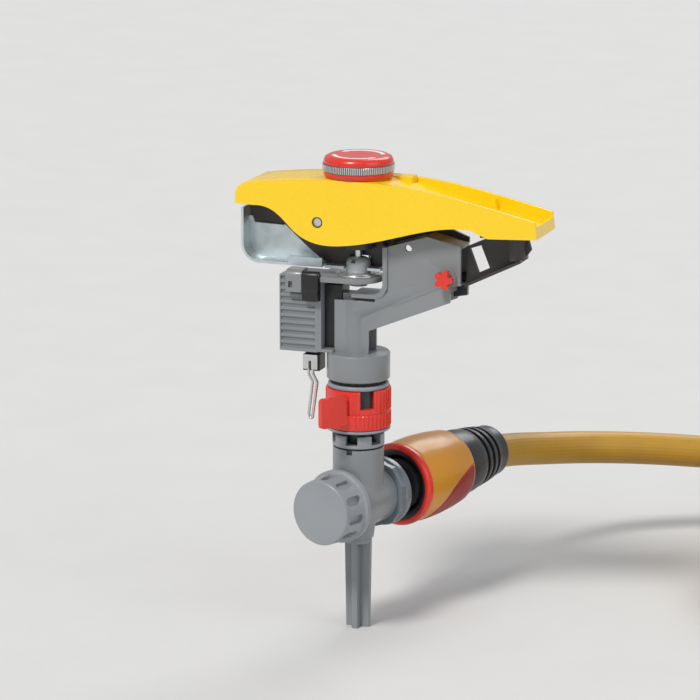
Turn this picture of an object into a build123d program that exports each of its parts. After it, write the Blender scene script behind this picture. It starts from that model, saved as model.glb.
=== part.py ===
"""Impact (pulsating) part-circle sprinkler head on a through-flow tee with a ground spike.

Frame: millimetres, +Z up along the riser, origin on the riser axis at ground level,
+X along the nozzle and the hammer arm, so the head's mid-plane is the X-Z plane.
"""
from build123d import *
import math
import os

os.makedirs("parts", exist_ok=True)

# ---- driving dimensions -------------------------------------------------------------------
port_height = 62.0          # hose port axis above the ground
collar_top = 133.5          # top face of the rotor's round collar
port_turn = 74.0            # hose port direction, degrees from +X towards +Y
spike_depth = 150.0         # spike below ground
riser_top = 88.1            # top rim of the tee's vertical tube
run_gap = 0.05              # radial clearance of every running fit
riser_radius = 12.0
port_radius = 13.5
stem_radius = 5.9
collar_radius = 14.8
ring_inner = 12.45          # bore of the arc collars
ring_outer = 14.9
arm_half_width = 15.0
arm_wall = 1.8
pin_radius = 1.75           # pivot pin
barrel_tilt = 21.6          # nozzle barrel above horizontal, degrees
barrel_root = collar_top + 20.4
shroud_half = 6.5           # half width of the nozzle shroud
deflector_screw_x = (67, 75.2)
rim_half = 7.4              # half width of the shroud's left rim and ledge
keel_edge = 6.9             # upright edge of the keel's side plates
snout_radius = 7.9          # hose-connector nose
hose_radius = 8.25
coil_radius = 86.0
coil_turns = 2.25
rock_height = collar_top + 12.0
rock_x = -22.3
star_x = 45.4               # diffuser axis, across the jet
star_z = collar_top + 39.1
cover_pin_x = -14.9         # pin that ties the arm's cover, bracket and core together
cover_pin_z = collar_top + 62.4
cover_pin_radius = 1.95
rivet_places = (-26, -20)   # along X
rivet_z = collar_top + 59.0
rivet_radius = 1.2
case_screw_heights = (collar_top + 7.0, collar_top + 18.0)
rocker_pin_radius = 1.5
mode_pin_radius = 1.2
needle_radius = 1.2
hose_end = 103.5            # where the hose starts, from the riser axis along the port


def frame_at(origin, direction, up=(0, 0, 1)):
    """A plane whose own Z axis runs along direction and whose X axis is up."""
    return Plane(origin=origin, x_dir=up, z_dir=direction)


def heading(degrees):
    """A horizontal unit direction, measured from +X towards +Y."""
    return (math.cos(math.radians(degrees)), math.sin(math.radians(degrees)), 0.0)


upright = Plane.XY
port = frame_at((0, 0, port_height), heading(port_turn))
cap_side = frame_at((0, 0, port_height), heading(port_turn + 180))
tilt = math.radians(barrel_tilt)
barrel_way = (math.cos(tilt), 0, math.sin(tilt))
barrel = frame_at((0, 0, barrel_root), barrel_way, (-math.sin(tilt), 0, math.cos(tilt)))
across = frame_at((0, 0, 0), (0, 1, 0), (1, 0, 0))


def spoke_of(frame, degrees):
    """The frame turned about its own Z axis."""
    angle = math.radians(degrees)
    along = frame.x_dir * math.cos(angle) + frame.y_dir * math.sin(angle)
    return Plane(origin=frame.origin, x_dir=along, z_dir=frame.z_dir)


def turned(outline, frame=upright, mode=Mode.ADD):
    """Revolve a closed (radius, height) outline about the frame's axis."""
    section = Plane(origin=frame.origin, x_dir=frame.x_dir, z_dir=frame.y_dir * -1)
    with BuildSketch(section) as face:
        with BuildLine():
            Polyline(*outline, close=True)
        make_face()
    revolve(face.sketch, axis=Axis(frame.origin, frame.z_dir), mode=mode)


def ring(outer, inner, low, high, frame=upright, mode=Mode.ADD):
    """A plain ring, or a disc when inner is 0, from low to high along the frame's axis."""
    with BuildSketch(frame.offset(low)) as face:
        Circle(outer)
        if inner > 0:
            Circle(inner, mode=Mode.SUBTRACT)
    extrude(face.sketch, amount=high - low, mode=mode)


def slab(outline, near, far, mode=Mode.ADD):
    """Extrude a closed X-Z outline across the width, from y = near to y = far."""
    with BuildSketch(Plane.XZ.offset(-near)) as face:
        with BuildLine():
            Polyline(*outline, close=True)
        make_face()
    extrude(face.sketch, amount=near - far, mode=mode)


def block(x0, x1, y0, y1, z0, z1, mode=Mode.ADD):
    """A box between two corners."""
    with BuildSketch(Plane.XY.offset(z0)) as face:
        with Locations(((x0 + x1) / 2, (y0 + y1) / 2)):
            Rectangle(x1 - x0, y1 - y0)
    extrude(face.sketch, amount=z1 - z0, mode=mode)


def cross_hole(x, z, radius, near, far, mode=Mode.SUBTRACT):
    """A hole, or a pin with Mode.ADD, along Y at (x, z)."""
    with BuildSketch(Plane.XZ.offset(-near)) as face:
        with Locations((x, z)):
            Circle(radius)
    extrude(face.sketch, amount=near - far, mode=mode)


def save(piece, name):
    """Label a finished piece and write it as its own STEP file."""
    piece.part.label = name
    export_step(piece.part, f"parts/{name}.step")


# ---- stand: spike and tee -----------------------------------------------------------------
spike_top = 44.0
spike_tip = -spike_depth
fin_outline = [(-6.3, spike_top), (6.3, spike_top), (3.2, spike_tip + 14), (0.8, spike_tip),
               (-0.8, spike_tip), (-3.2, spike_tip + 14)]
fin_half = 1.4
with BuildPart() as spike:
    slab(fin_outline, -fin_half, fin_half)
    with BuildSketch(Plane.YZ.offset(-fin_half)):
        with BuildLine():
            Polyline(*fin_outline, close=True)
        make_face()
    extrude(amount=2 * fin_half)
    ring(6.3, 0, spike_top - 2.5, spike_top)
    ring(3.95, 0, spike_top, spike_top + 6.5)
save(spike, "spike")

with BuildPart() as tee_body:
    turned([(0, 44), (7.2, 44), (8.2, 51), (12.2, 60), (riser_radius, riser_top), (0, riser_top)])
    ring(port_radius, 0, -13, 13, port)
    ring(12.5, 0, 13, 26.5, cap_side)
    ring(12.5, 0, 13, 17, port)
    ring(9.0, 0, -30, 20, port, Mode.SUBTRACT)
    ring(8.0, 0, port_height, riser_top, mode=Mode.SUBTRACT)
    ring(9.5, 0, 72, riser_top, mode=Mode.SUBTRACT)
    ring(4.0, 0, 43, 51, mode=Mode.SUBTRACT)
    with BuildSketch(Plane.XY.offset(riser_top - 2.2)):
        with PolarLocations(11, 1, start_angle=-92):
            Rectangle(4, 3)
    extrude(amount=3, mode=Mode.SUBTRACT)
save(tee_body, "tee_body")

# ---- blanking screw cap, its own axis pointing away from the inlet --------------------------
with BuildPart() as screw_cap:
    turned(
        [(0, 31), (14.9, 31), (15.3, 30.6), (16.2, 17.2), (17.3, 16.8), (17.3, 14.2),
         (12.5 + run_gap, 14.2), (12.5 + run_gap, 28.5), (0, 28.5)],
        cap_side,
    )
    grips = 11
    for index in range(grips):
        spoke = spoke_of(cap_side, 360 / grips * index)
        side = Plane(origin=spoke.origin + spoke.x_dir * 14.1, x_dir=spoke.z_dir, z_dir=spoke.x_dir)
        with BuildSketch(side):
            with Locations((23.6, 0)):
                SlotOverall(10, 4.2)
        extrude(amount=4, mode=Mode.SUBTRACT)
save(screw_cap, "screw_cap")

with BuildPart() as cap_washer:
    ring(12.4, 6.0, 26.5, 28.5, cap_side)
save(cap_washer, "cap_washer")

# ---- inlet adaptor: threaded nut with a hose-connector nose ---------------------------------
with BuildPart() as inlet_adaptor:
    with BuildSketch(port.offset(13.4)):
        RegularPolygon(16.4, 10)
    extrude(amount=3.4)
    turned(
        [(0, 16.6), (15.6, 16.6), (16.5, 17.4), (16.5, 20.2), (15.6, 21.2), (9.2, 21.2), (9.2, 29.5),
         (7.0, 31.0), (7.0, 37.4), (snout_radius, 38.4), (snout_radius, 42), (5.5, 42),
         (5.5, 44.6), (snout_radius, 44.6), (snout_radius, 46), (7.0, 47.5), (0, 47.5)],
        port,
    )
    ring(12.5 + run_gap, 0, 13, 18.5, port, Mode.SUBTRACT)
    ring(4.5, 0, 10, 50, port, Mode.SUBTRACT)
save(inlet_adaptor, "inlet_adaptor")

with BuildPart() as adaptor_washer:
    ring(12.4, 6.0, 17.0, 18.5, port)
save(adaptor_washer, "adaptor_washer")

with BuildPart() as inlet_o_ring:
    with BuildSketch(Plane(origin=port.origin, x_dir=port.x_dir, z_dir=port.y_dir * -1)):
        with Locations((6.72, 43.3)):
            Circle(1.2)
    revolve(axis=Axis(port.origin, port.z_dir))
save(inlet_o_ring, "inlet_o_ring")

# ---- bearing stack on the riser --------------------------------------------------------------
with BuildPart() as nut_gasket:
    ring(11.6, 9.6, riser_top, riser_top + 0.9)
save(nut_gasket, "nut_gasket")

nut_base = riser_top + 0.9
with BuildPart() as bearing_nut:
    ring(12.2, 8.05, nut_base, nut_base + 1.6)
    ring(9.45, 8.05, 80, nut_base)
    with BuildSketch(Plane.XY.offset(nut_base + 1.6)):
        Circle(12.2)
        Circle(9.2, mode=Mode.SUBTRACT)
        with PolarLocations(11, 6, start_angle=-86.5):
            Rectangle(6, 5.6, mode=Mode.SUBTRACT)
    extrude(amount=4.2)
save(bearing_nut, "bearing_nut")

sleeve_low = collar_top - 37.1
sleeve_high = collar_top - 16.5
with BuildPart() as bearing_sleeve:
    turned(
        [(stem_radius + run_gap, 80), (8, 80), (8, sleeve_low), (14.4, sleeve_low), (14.8, sleeve_low + 0.4),
         (14.8, sleeve_low + 1.6), (12.4, sleeve_low + 1.8), (12.4, sleeve_high), (10.9, sleeve_high),
         (10.9, sleeve_low + 4), (stem_radius + run_gap, sleeve_low + 4)]
    )
save(bearing_sleeve, "bearing_sleeve")

with BuildPart() as collar_retainer:
    turned(
        [(10.9, sleeve_high), (14.0, sleeve_high), (14.3, sleeve_high + 0.4), (14.3, sleeve_high + 1.7),
         (13.9, sleeve_high + 2), (10.9, sleeve_high + 2)]
    )
save(collar_retainer, "collar_retainer")

with BuildPart() as thrust_washers:
    for step in range(3):
        ring(8.9, stem_radius + run_gap, 76.4 + 1.2 * step, 77.4 + 1.2 * step)
save(thrust_washers, "thrust_washers")

with BuildPart() as bearing_spring:
    spring_low = sleeve_low + 5.2
    with BuildLine() as spring_wire:
        Helix(pitch=4.2, height=16.8, radius=8.4, center=(0, 0, spring_low))
    with BuildSketch(Plane(origin=spring_wire.line @ 0, z_dir=spring_wire.line % 0)):
        Circle(0.8)
    sweep(is_frenet=True)
save(bearing_spring, "bearing_spring")

# ---- arc collars with their wing tabs --------------------------------------------------------
lower_low = sleeve_low + 1.9
lower_high = lower_low + 7.6
upper_high = sleeve_high - 0.1
paddle_low = lower_low + 2.5
paddle_high = paddle_low + 14.8


def wing(angle, low, high, start, thickness, corner):
    """A paddle that leaves the ring at the given bearing and leans back; start trims its root."""
    tip = Vector(29.2, 0).rotate(Axis.Z, angle - 19)
    root = Vector(14.2, 0).rotate(Axis.Z, angle) * (1 - start) + tip * start
    along = (tip - root).normalized()
    side = Plane(origin=(root + tip) * 0.5 + Vector(0, 0, (low + high) / 2), x_dir=along,
                 z_dir=along.cross(Vector(0, 0, 1)))
    with BuildSketch(side.offset(-thickness / 2)) as face:
        RectangleRounded((tip - root).length, high - low, corner)
    extrude(face.sketch, amount=thickness)


with BuildPart() as lower_arc_collar:
    ring(ring_outer, ring_inner, lower_low, lower_high)
    wing(-89, paddle_low + 1.2, lower_high, 0, 2.2, 0.4)
    wing(-89, paddle_low + 0.8, paddle_high, 0.1, 2.6, 1.8)
save(lower_arc_collar, "lower_arc_collar")

with BuildPart() as upper_arc_collar:
    ring(ring_outer, ring_inner, lower_high + 0.1, upper_high)
    with BuildSketch(Plane.XY.offset(lower_high + 2.6)):
        with PolarLocations(13.5, 1, start_angle=-54.5):
            Rectangle(6, 6.6)
    extrude(amount=20, mode=Mode.SUBTRACT)
    wing(119, lower_high + 0.1, upper_high - 0.6, 0, 2.2, 0.4)
    wing(119, paddle_low, paddle_high, 0.1, 2.6, 1.8)
save(upper_arc_collar, "upper_arc_collar")

# ---- rotor body: collar, post, barrel, keel and shroud ----------------------------------------
collar_low = collar_top - 12.6
hub_low = collar_top - 14.0
z = collar_top
with BuildPart() as rotor_body:
    turned(
        [(stem_radius + run_gap, hub_low), (8.4, hub_low), (8.4, z - 2.6), (12.9, z - 2.6), (12.9, collar_low),
         (14.4, collar_low), (collar_radius, collar_low + 0.5), (collar_radius, z - 0.6), (14.2, z), (0, z),
         (0, z - 6), (stem_radius + run_gap, z - 6)]
    )
    ring(7.2, 0, z, z + 27.8)
    block(-9.6, -2, -6.2, 6.2, z, z + 24.8)
    slab([(0, z), (keel_edge, z), (keel_edge, z + 11), (46.5, z + 27.2), (46.5, z + 36), (0, z + 19)], -6.3, 6.3)
    block(keel_edge, 8, -8, 8, z, z + 10.9, Mode.SUBTRACT)
    slab([(44, z + 27.6), (51.6, z + 29.2), (51.6, z + 40), (44, z + 40)], 4.4, shroud_half)
    turned([(0, -2), (7.7, 0), (6.4, 46.6), (0, 46.6)], barrel)
    # nothing of the barrel stands above the ledge, and a gap runs under the ledge's lips
    slab([(-9, z + 28.5), (10.4, z + 28.5), (12.6, z + 30), (14.2, z + 33), (14.2, z + 45), (-9, z + 45)],
         -9, 9, Mode.SUBTRACT)
    for side in (-1, 1):
        block(-8, 10.5, min(3.6 * side, 9 * side), max(3.6 * side, 9 * side), z + 25.2, z + 28.6, Mode.SUBTRACT)
    slab([(12, z + 26), (16.4, z + 31), (16.2, z + 51.4), (35.6, z + 57.4), (51.6, z + 53.6), (51.6, z + 35.6),
          (42, z + 34), (20, z + 24)], -shroud_half, shroud_half)
    # the ledge that curves up into the shroud's left wall, proud of the side plates
    slab([(-1, z + 26.7), (11, z + 26.7), (14.5, z + 28.3), (16.4, z + 32), (16.4, z + 51.4), (14.2, z + 51.0),
          (14.2, z + 33), (12.6, z + 30), (10.4, z + 28.5), (-1, z + 28.5)], -rim_half, rim_half)
    # hollow shroud, open at the top left and at the nozzle end
    slab([(16.4, z + 36.5), (44.8, z + 47.4), (44.8, z + 35.8), (53, z + 35.8), (53, z + 51.9), (35.2, z + 56.0),
          (35.2, z + 62), (16.4, z + 62)], -5.1, 5.1, Mode.SUBTRACT)
    cross_hole(26.5, z + 51.5, 1.6, -8, 0)
    cross_hole(21.9, z + 48.3, 2.4, 0, 8)
    # hollow keel between its two side plates, open below, round the slim foot of the post
    slab([(0.5, z), (8, z), (8, z + 11.3), (47, z + 27.2), (47, z + 31.6), (10, z + 16.6), (0.5, z + 12.4)],
         -5.1, 5.1, Mode.SUBTRACT)
    ring(4.7, 0, z, z + 20)
    # waterway: up the post and out along the barrel
    ring(3.2, 0, z - 8, z + 20, mode=Mode.SUBTRACT)
    ring(3.2, 0, 0, 20, barrel, Mode.SUBTRACT)
    ring(4.2, 0, 19, 38, barrel, Mode.SUBTRACT)
    ring(4.8, 0, 38, 60, barrel, Mode.SUBTRACT)
    cross_hole(star_x, star_z, 4.4, -8.4, -5, Mode.ADD)
    cross_hole(star_x, star_z, needle_radius + run_gap, -9, -3)
save(rotor_body, "rotor_body")

with BuildPart() as rotor_stem:
    turned(
        [(4.2, 73.2), (8.4, 73.2), (8.4, 76.3), (stem_radius, 76.3), (stem_radius, 84), (4.9, 84), (4.9, 86.2),
         (stem_radius, 86.2), (stem_radius, z - 6.2), (4.2, z - 6.2)]
    )
save(rotor_stem, "rotor_stem")

with BuildPart() as stem_o_ring:
    with BuildSketch(Plane.XZ):
        with Locations((5.43, 85.1)):
            Circle(0.5)
    revolve(axis=Axis.Z)
save(stem_o_ring, "stem_o_ring")

with BuildPart() as dust_seal:
    ring(12.9, 11.0, sleeve_high + 2.05, collar_low + 1.5)
save(dust_seal, "dust_seal")

with BuildPart() as nozzle_insert:
    ring(4.75, 2.4, 38.05, 43.6, barrel)
save(nozzle_insert, "nozzle_insert")

# ---- pivot frame: the C-shaped bracket that carries the pivot pin -------------------------------
plate_low = z + 33.75
plate_high = z + 36.2
with BuildPart() as pivot_frame:
    with BuildSketch(Plane.XY.offset(plate_low)):
        Circle(11.6)
        with Locations((-8.6, 0)):
            Rectangle(17.2, 23.2)
    extrude(amount=plate_high - plate_low)
    block(-18, -14.9, -12, -9.1, plate_low - 1, plate_high + 1, Mode.SUBTRACT)
    block(-17.2, -15.2, -9, 9, z, plate_high)
    block(-17.2, -9.6, 6.4, 9, z, plate_high)
    block(-17.2, -9.6, -9, 9, z, z + 1.4)
    ring(4.2, 0, z + 31.2, plate_low)
    ring(pin_radius, 0, z, z + 60, mode=Mode.SUBTRACT)
    for screw_z in case_screw_heights:
        with BuildSketch(Plane.YZ.offset(-18)):
            with Locations((3, screw_z)):
                Circle(1.25)
        extrude(amount=4, mode=Mode.SUBTRACT)
    with BuildSketch(Plane.YZ.offset(-18)):
        with Locations((0, rock_height)):
            Circle(rocker_pin_radius)
    extrude(amount=4, mode=Mode.SUBTRACT)
save(pivot_frame, "pivot_frame")

with BuildPart() as pivot_pin:
    ring(pin_radius, 0, z + 31.2, z + 78)
save(pivot_pin, "pivot_pin")

with BuildPart() as pivot_washer:
    ring(8.7, pin_radius + run_gap, plate_high, z + 37.6)
save(pivot_washer, "pivot_washer")

# ---- mechanism cover: ribbed box with the trip rocker inside ------------------------------------
cover_left = -35.8
cover_top = z + 35.7
rib_pitch = 3.2
with BuildPart() as mechanism_cover:
    block(cover_left, -17.2, -9, 9, z - 0.4, cover_top)
    block(cover_left + 1.6, -17, -7.4, 7.4, z + 1.2, cover_top - 1.6, Mode.SUBTRACT)
    block(-27, -19.2, -6.6, 6.6, z - 2, z + 2, Mode.SUBTRACT)
    for index in range(11):
        groove = z + 1.3 + rib_pitch * index
        block(cover_left + 0.7, -18.3, -10, -8.2, groove, groove + 1.7, Mode.SUBTRACT)
    with BuildSketch(Plane.YZ.offset(cover_left - 1)):
        with Locations((0, rock_height)):
            Circle(rocker_pin_radius)
    extrude(amount=4, mode=Mode.SUBTRACT)
save(mechanism_cover, "mechanism_cover")

with BuildPart() as case_screws:
    for screw_z in case_screw_heights:
        with BuildSketch(Plane.YZ.offset(-17.2)):
            with Locations((3, screw_z)):
                Circle(1.2)
        extrude(amount=2)
        with BuildSketch(Plane.YZ.offset(-15.2)):
            with Locations((3, screw_z)):
                Circle(2.4)
        extrude(amount=1.4)
save(case_screws, "case_screws")

with BuildPart() as rocker_pin:
    with BuildSketch(Plane.YZ.offset(cover_left + 0.3)):
        with Locations((0, rock_height)):
            Circle(rocker_pin_radius)
    extrude(amount=20.0)
save(rocker_pin, "rocker_pin")

with BuildPart() as rocker_spring:
    with BuildLine() as over_centre_wire:
        Helix(pitch=1.6, height=8, radius=2.2, center=(rock_x, 0, z + 25))
    with BuildSketch(Plane(origin=over_centre_wire.line @ 0, z_dir=over_centre_wire.line % 0)):
        Circle(0.35)
    sweep(is_frenet=True)
save(rocker_spring, "rocker_spring")

# ---- trip rocker, its clip and the bent trip wire -------------------------------------------------
with BuildPart() as trip_rocker:
    block(-25.2, -20.2, -2.5, 2.5, z - 6, z + 21)
    block(-26.0, -17.8, -4.2, 4.2, z - 10.4, z - 2.6)
    with BuildSketch(Plane.YZ.offset(-26)):
        with Locations((0, rock_height)):
            Circle(rocker_pin_radius + run_gap)
    extrude(amount=8, mode=Mode.SUBTRACT)
    for leg_x in (-23.4, -21.3):
        block(leg_x - 0.75, leg_x + 0.75, -4.4, -2.7, z - 11, z - 2.85, Mode.SUBTRACT)
save(trip_rocker, "trip_rocker")

wire_radius = 0.7
wire_y = -3.5
with BuildPart() as trip_wire:
    with BuildLine() as hairpin:
        FilletPolyline(
            (-23.4, wire_y, z - 3.6), (-23.4, wire_y, z - 12.4), (-21.4, wire_y, z - 15.8),
            (-23.4, wire_y, z - 31.2), (-22.9, wire_y, z - 33.4), (-21.6, wire_y, z - 33.2),
            (-19.2, wire_y, z - 16.0), (-21.3, wire_y, z - 12.0), (-21.3, wire_y, z - 3.6),
            radius=0.7,
        )
    with BuildSketch(Plane(origin=hairpin.line @ 0, z_dir=hairpin.line % 0)):
        Circle(wire_radius)
    sweep()
save(trip_wire, "trip_wire")

with BuildPart() as wire_clip:
    block(-25.6, -18.6, -5.0, -4.25, z - 9.6, z - 3.0)
    block(-23.0, -21.7, -5.4, -4.2, z - 10, z - 5.6, Mode.SUBTRACT)
    block(-25.6, -18.6, -5.0, -3.0, z - 2.95, z - 2.6)
    block(-25.6, -18.6, -5.0, -4.25, z - 3.0, z - 2.6)
    block(-26.5, -17, -4.25, 0, z - 2.96, z - 2.55, Mode.SUBTRACT)
save(wire_clip, "wire_clip")

# ---- mode lever on the block's top edge -------------------------------------------------------------
mode_y = -11.6
mode_z = z + 36.2
mode_left = -31.2
mode_split = -23.4
with BuildPart() as mode_cap:
    with BuildSketch(Plane.YZ.offset(mode_left)):
        with BuildLine():
            Polyline((-9.05, z + 28.6), (-13.2, z + 28.6), (-13.4, z + 35.6))
            ThreePointArc((-13.4, z + 35.6), (-12.4, z + 38.1), (-10.2, z + 38.9))
            Polyline((-10.2, z + 38.9), (-4.6, z + 38.9), (-4.6, z + 35.75), (-9.05, z + 35.75),
                     (-9.05, z + 28.6))
        make_face()
    extrude(amount=mode_split - mode_left)
    block(-29.9, -27.8, -14, -11.6, z + 30.6, z + 33.6, Mode.SUBTRACT)
    with BuildSketch(Plane.YZ.offset(mode_split - 1.6)):
        with Locations((mode_y, mode_z)):
            Circle(mode_pin_radius)
    extrude(amount=2, mode=Mode.SUBTRACT)
save(mode_cap, "mode_cap")

with BuildPart() as mode_pin:
    with BuildSketch(Plane.YZ.offset(mode_split - 1.6)):
        with Locations((mode_y, mode_z)):
            Circle(mode_pin_radius)
    extrude(amount=9.6)
save(mode_pin, "mode_pin")

# its top is round about the pin, so that it turns clear of the block's edge
with BuildPart() as mode_lever:
    with BuildSketch(Plane.YZ.offset(mode_split + 0.2)):
        with BuildLine():
            Polyline(
                (-9.3, mode_z - 0.6), (mode_y, mode_z + 1), (-13.8, mode_z - 0.6), (-13.6, z + 30.4),
                (-14.2, z + 28.6), (-12.6, z + 24.6), (-9.6, z + 24.4), (-9.3, z + 30), close=True,
            )
        make_face()
        with Locations((mode_y, mode_z)):
            Circle(2.4)
    extrude(amount=8.0)
    with BuildSketch(Plane.YZ.offset(-24)):
        with Locations((mode_y, mode_z)):
            Circle(mode_pin_radius + run_gap)
    extrude(amount=10, mode=Mode.SUBTRACT)
save(mode_lever, "mode_lever")

# ---- hammer arm: cover, bracket, core, bush ----------------------------------------------------------
with BuildPart() as arm_cover:
    with BuildSketch(Plane.XZ.offset(arm_half_width)):
        with BuildLine():
            Line((-55.2, z + 68.9), (-55.2, z + 72.6))
            ThreePointArc((-55.2, z + 72.6), (-53.6, z + 77.0), (-49.6, z + 79.1))
            Spline((-49.6, z + 79.1), (-11.4, z + 82.3), (8.7, z + 82.2), (32.7, z + 80.4), (53.4, z + 77.0),
                   (89.0, z + 69.0))
            Polyline((89.0, z + 69.0), (90.0, z + 61.0), (66.9, z + 60.0), (58.6, z + 63.4), (50.4, z + 63.5))
            Spline((50.4, z + 63.5), (39, z + 61.8), (18.1, z + 56.3), (-2.9, z + 52.1), (-12.5, z + 51.9),
                   (-24.2, z + 55.9), (-34.3, z + 65.0), (-46.0, z + 68.6))
            Line((-46.0, z + 68.6), (-55.2, z + 68.9))
        make_face()
    extrude(amount=-2 * arm_half_width)
    inside = arm_half_width - arm_wall
    slab([(-53.4, z + 45), (-53.4, z + 72), (-49.0, z + 77.2), (-11.4, z + 80.3), (14, z + 80.0), (30, z + 75.6),
          (60, z + 68.0), (88.2, z + 62.4), (88.2, z + 45)], -inside, inside, Mode.SUBTRACT)
    # pad under the channel floor for the deflector's screws
    slab([(64, z + 60.4), (79, z + 60.4), (79, z + 65.2), (64, z + 68.2)], -6.0, 6.8)
    for screw_x in deflector_screw_x:
        with BuildSketch(Plane.XY.offset(z + 60)):
            with Locations((screw_x, 4.2)):
                Circle(1.2)
        extrude(amount=3.5, mode=Mode.SUBTRACT)
    slab([(15, z + 82.0), (30, z + 77.4), (60, z + 69.8), (88.2, z + 64.2), (88.2, z + 95), (15, z + 95)],
         -inside, inside, Mode.SUBTRACT)
    slab([(88, z + 66.4), (91, z + 66.4), (91, z + 75), (88, z + 75)], -inside, inside, Mode.SUBTRACT)
    # stiffening gusset against the far wall of the open channel
    slab([(54, z + 71.2), (64, z + 68.9), (63, z + 73.6)], inside - 4.4, inside + 0.2)
    block(14, 24, 6, 13.4, z + 79, z + 82.3)
    ring(14, 0, z + 81.6, z + 82.6)
    ring(4 + run_gap, 0, z + 70, z + 90, mode=Mode.SUBTRACT)
    cross_hole(cover_pin_x, cover_pin_z, cover_pin_radius + run_gap, -20, 20)
save(arm_cover, "arm_cover")

strip_low = z + 39.2
strip_high = strip_low + 1.2
strip_near = -4.4
wall_left = -56.4
corner_x = wall_left + 8.9
with BuildPart() as arm_bracket:
    with BuildSketch(Plane.XZ.offset(-strip_near)):
        with BuildLine():
            Line((12.2, strip_low), (corner_x, strip_low))
            RadiusArc((corner_x, strip_low), (wall_left, strip_low + 8.9), 8.9)
            Line((wall_left, strip_low + 8.9), (wall_left, z + 65.2))
            Line((wall_left, z + 65.2), (wall_left + 1.2, z + 65.2))
            Line((wall_left + 1.2, z + 65.2), (wall_left + 1.2, strip_low + 8.9))
            RadiusArc((wall_left + 1.2, strip_low + 8.9), (corner_x, strip_high), -7.7)
            Line((corner_x, strip_high), (12.2, strip_high))
            Line((12.2, strip_high), (12.2, strip_low))
        make_face()
    extrude(amount=strip_near - 6.0)
    # back plate with its small horn and diagonal edge, following the rounded corner
    bend = [(corner_x - 8.3 * math.sin(math.radians(step)), strip_low + 8.9 - 8.3 * math.cos(math.radians(step)))
            for step in (0, 30, 60, 90)]
    slab(bend + [(wall_left + 0.6, z + 59.4), (wall_left + 2.2, z + 59.6), (wall_left + 3.4, z + 56.5),
                 (-38.2, z + 56.1), (-34.5, z + 64.0), (-10.5, z + 64.0), (-18, z + 41.6), (12.2, z + 40.8),
                 (12.2, strip_low + 0.6)], 4.8, 6.0)
    # near tab, folded up from the strip
    slab([(-33.2, strip_low), (-33.2, z + 42.9), (-32.3, z + 43.6), (-16.4, z + 43.6), (-16.4, strip_low)],
         strip_near, strip_near + 1.2)
    ring(8.4, 0, strip_low, strip_high)
    block(-10, 10, -9, strip_near, strip_low - 1, strip_high + 1, Mode.SUBTRACT)
    block(-5.75, 5.75, -9, 0, strip_low - 1, strip_high + 1, Mode.SUBTRACT)
    block(-16.4, -15.2, -7, -1, strip_low - 1, strip_high + 0.2, Mode.SUBTRACT)
    ring(5.75, 0, strip_low - 1, z + 46, mode=Mode.SUBTRACT)
    cross_hole(cover_pin_x, cover_pin_z, cover_pin_radius + run_gap, 0, 10)
    for rivet_x in rivet_places:
        cross_hole(rivet_x, rivet_z, rivet_radius, 0, 10)
save(arm_bracket, "arm_bracket")

core_near = 2.6
core_far = 4.8
with BuildPart() as arm_core:
    slab([(-37.7, z + 57.4), (-24.9, z + 46.1), (-19.9, z + 42.4), (-16.5, strip_high), (10.8, strip_high),
          (10.8, z + 66), (-36, z + 66)], core_near, core_far)
    # leaf behind the bracket's back plate, joined over its top edge
    slab([(wall_left + 1, z + 54), (-30, z + 54), (-30, z + 66), (wall_left + 1, z + 66)], 6.0, 7.4)
    block(-36, -30, core_near, 7.4, z + 64.1, z + 66)
    # outrigger past the far side of the shroud
    block(6, 10.8, core_near, 9.6, z + 47, z + 66)
    slab([(6, z + 45), (12, z + 48.5), (40, z + 54), (51, z + 53), (51, z + 55.6), (44.6, z + 58),
          (37, z + 61.2), (37, z + 66), (6, z + 66)], 8.0, 9.6)
    ring(7.4, 0, z + 49, z + 60)
    ring(pin_radius + run_gap, 0, z + 40, z + 70, mode=Mode.SUBTRACT)
    ring(5.75, 0, z + 40, z + 44.9, mode=Mode.SUBTRACT)
    ring(6.4, 0, z + 60.4, z + 70, mode=Mode.SUBTRACT)
    cross_hole(cover_pin_x, cover_pin_z, cover_pin_radius + run_gap, 0, 10)
    for rivet_x in rivet_places:
        cross_hole(rivet_x, rivet_z, rivet_radius, 0, 10)
save(arm_core, "arm_core")

with BuildPart() as bracket_rivets:
    for rivet_x in rivet_places:
        cross_hole(rivet_x, rivet_z, rivet_radius, core_near, 6.0, Mode.ADD)
        cross_hole(rivet_x, rivet_z, rivet_radius + 1, core_near - 1, core_near, Mode.ADD)
        cross_hole(rivet_x, rivet_z, rivet_radius + 1, 6.0, 7.0, Mode.ADD)
save(bracket_rivets, "bracket_rivets")

with BuildPart() as cover_pin:
    cross_hole(cover_pin_x, cover_pin_z, cover_pin_radius, -14.4, 14.4, Mode.ADD)
save(cover_pin, "cover_pin")

with BuildPart() as pivot_bush:
    with BuildSketch(Plane.XZ):
        with BuildLine():
            Polyline((pin_radius + run_gap, z + 37.65), (5.7, z + 37.65), (5.7, z + 41.2))
            ThreePointArc((5.7, z + 41.2), (4.9, z + 43.6), (3.2, z + 44.6))
            Polyline((3.2, z + 44.6), (pin_radius + run_gap, z + 44.6), (pin_radius + run_gap, z + 37.65))
        make_face()
    revolve(axis=Axis.Z)
    for angle in (20, 140, 260):
        with BuildSketch(Plane.XY.offset(z + 42.4)):
            with PolarLocations(4.6, 1, start_angle=angle):
                Rectangle(5, 2.4)
        extrude(amount=4, mode=Mode.SUBTRACT)
save(pivot_bush, "pivot_bush")

with BuildPart() as torsion_spring:
    with BuildLine() as torsion_wire:
        Helix(pitch=1.9, height=11.4, radius=5.2, center=(0, 0, z + 62))
    with BuildSketch(Plane(origin=torsion_wire.line @ 0, z_dir=torsion_wire.line % 0)):
        Circle(0.7)
    sweep(is_frenet=True)
save(torsion_spring, "torsion_spring")

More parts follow.
